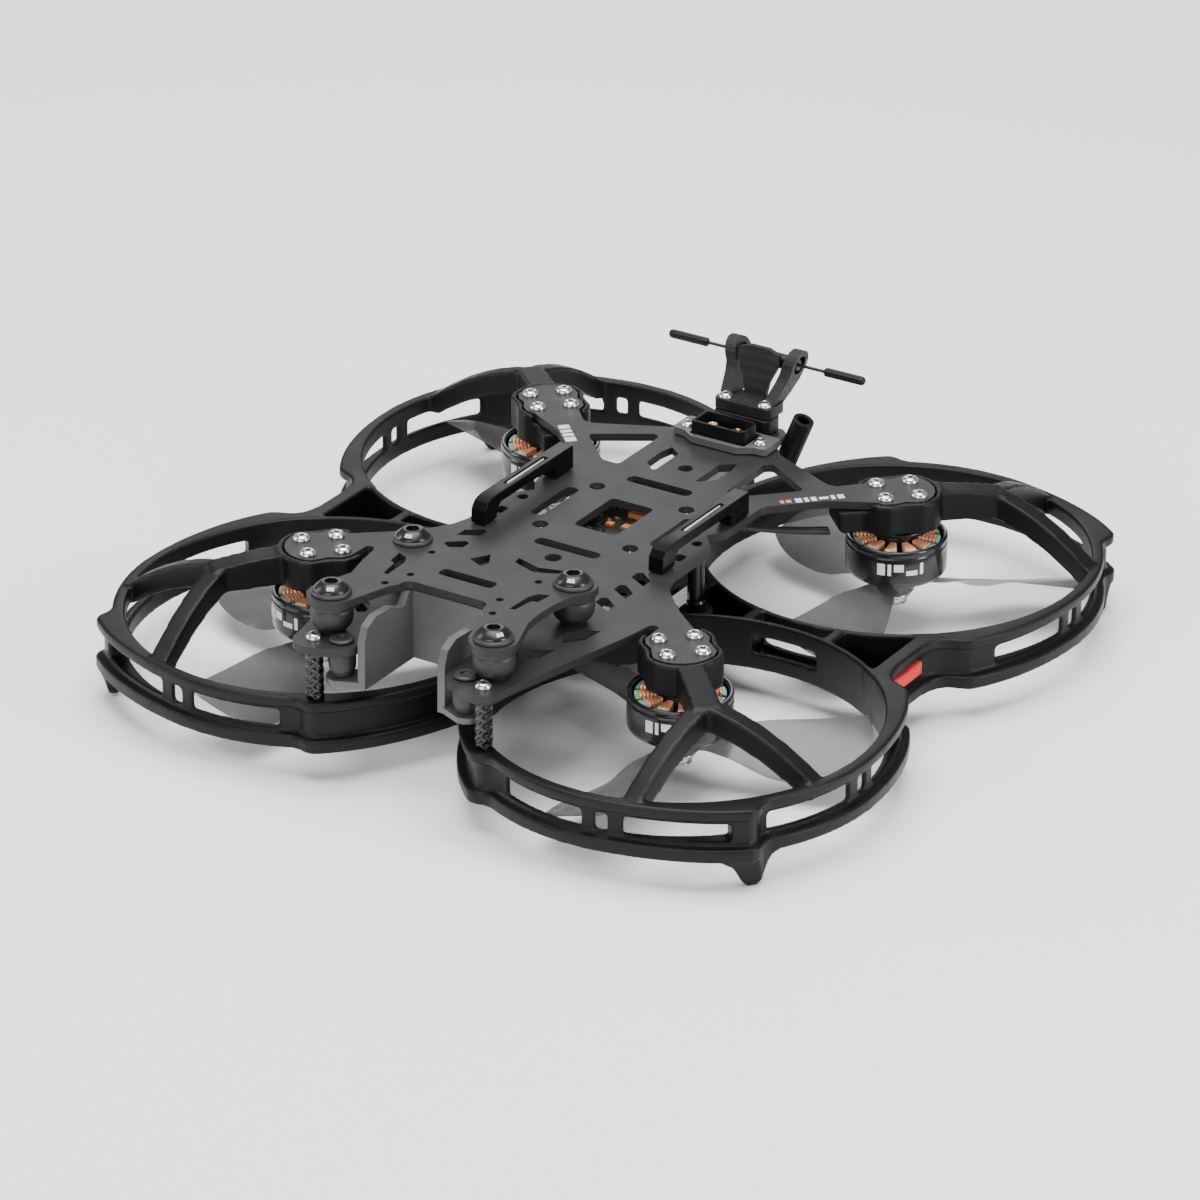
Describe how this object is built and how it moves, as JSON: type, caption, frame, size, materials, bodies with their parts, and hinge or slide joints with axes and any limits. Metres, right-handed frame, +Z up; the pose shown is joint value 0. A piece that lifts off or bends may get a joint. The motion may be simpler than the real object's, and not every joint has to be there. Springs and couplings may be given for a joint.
{
  "type": "ducted racing quadcopter",
  "caption": "Compact ducted racing quadcopter with inverted motors, ring ducts on legs, a flat carbon frame, battery rails and a rubber-mounted camera cage.",
  "frame": {"origin": "floor level under the point midway between the four motors", "axes": "+Z up, -Y towards the camera end (the front), +X completes the right-handed set"},
  "size_m": [0.2026, 0.2026, 0.0552],
  "materials": {
    "coated_plate": "satin dark grey coating over woven carbon fibre",
    "duct_plastic": "fine-textured injection moulding",
    "printed_plastic": "printed flexible plastic with fine layer lines",
    "damper_rubber": "smooth soft rubber",
    "black_anodised": "black anodised",
    "gloss_bell": "gloss black",
    "stator_copper": "enamelled copper windings",
    "silver_steel": "polished",
    "gold_pin": "gold plated",
    "smoke_propeller": "smoked clear polycarbonate",
    "red_foam": "open-cell foam",
    "circuit_board": "solder-masked laminate",
    "antenna_sleeve": "satin sleeve"
  },
  "bodies": {
    "frame": {"main_plate": "coated_plate", "bottom_plate": "coated_plate", "right_duct": "duct_plastic", "left_duct": "duct_plastic", "power_connector": "duct_plastic", "connector_bracket": "printed_plastic", "antenna_pedestal": "printed_plastic", "antenna_mount": "printed_plastic", "antenna_tube": "printed_plastic", "foam_insert_left": "red_foam", "foam_insert_right": "red_foam", "battery_rail_left": "black_anodised", "battery_rail_right": "black_anodised", "front_standoff_left": "black_anodised", "front_standoff_right": "black_anodised", "side_standoff_left": "black_anodised", "side_standoff_right": "black_anodised", "motor_base_front_left": "black_anodised", "motor_base_front_right": "black_anodised", "motor_base_rear_left": "black_anodised", "motor_base_rear_right": "black_anodised", "flight_controller": "circuit_board", "speed_controller": "circuit_board", "connector_pin_left": "gold_pin", "connector_pin_right": "gold_pin", "dipole_antenna": "antenna_sleeve", "motor_lead_front_left": "antenna_sleeve", "motor_lead_front_right": "antenna_sleeve", "motor_lead_rear_left": "antenna_sleeve", "motor_lead_rear_right": "antenna_sleeve", "stator_front_left": "stator_copper", "stator_front_right": "stator_copper", "stator_rear_left": "stator_copper", "stator_rear_right": "stator_copper", "damper_ball_rear_left": "damper_rubber", "damper_ball_rear_right": "damper_rubber", "damper_ball_front_left": "damper_rubber", "damper_ball_front_right": "damper_rubber", "cage_ball_left": "damper_rubber", "cage_ball_right": "damper_rubber"},
    "rotor_front_left": {"bell_front_left": "gloss_bell", "propeller_front_left": "smoke_propeller", "prop_nut_front_left": "silver_steel"},
    "rotor_front_right": {"bell_front_right": "gloss_bell", "propeller_front_right": "smoke_propeller", "prop_nut_front_right": "silver_steel"},
    "rotor_rear_left": {"bell_rear_left": "gloss_bell", "propeller_rear_left": "smoke_propeller", "prop_nut_rear_left": "silver_steel"},
    "rotor_rear_right": {"bell_rear_right": "gloss_bell", "propeller_rear_right": "smoke_propeller", "prop_nut_rear_right": "silver_steel"},
    "camera_cage": {"damper_plate": "coated_plate", "camera_bracket": "printed_plastic", "damper_cap_rear_left": "black_anodised", "damper_cap_rear_right": "black_anodised", "damper_cap_front_left": "black_anodised", "damper_cap_front_right": "black_anodised"}
  },
  "joints": [
    {"name": "spin_front_left", "type": "hinge", "parent": "frame", "child": "rotor_front_left", "pos_m": [-0.0502, -0.0502, 0.0196], "axis": [0, 0, 1], "continuous": true},
    {"name": "spin_front_right", "type": "hinge", "parent": "frame", "child": "rotor_front_right", "pos_m": [0.0502, -0.0502, 0.0196], "axis": [0, 0, 1], "continuous": true},
    {"name": "spin_rear_left", "type": "hinge", "parent": "frame", "child": "rotor_rear_left", "pos_m": [-0.0502, 0.0502, 0.0196], "axis": [0, 0, 1], "continuous": true},
    {"name": "spin_rear_right", "type": "hinge", "parent": "frame", "child": "rotor_rear_right", "pos_m": [0.0502, 0.0502, 0.0196], "axis": [0, 0, 1], "continuous": true},
    {"name": "cage_float", "type": "slide", "parent": "frame", "child": "camera_cage", "axis": [0, 0, 1], "range_m": [-0.0008, 0.0008], "stiffness_N_per_m": 2000, "deforming": ["damper_ball_rear_left", "damper_ball_rear_right", "damper_ball_front_left", "damper_ball_front_right", "cage_ball_left", "cage_ball_right"]}
  ]
}
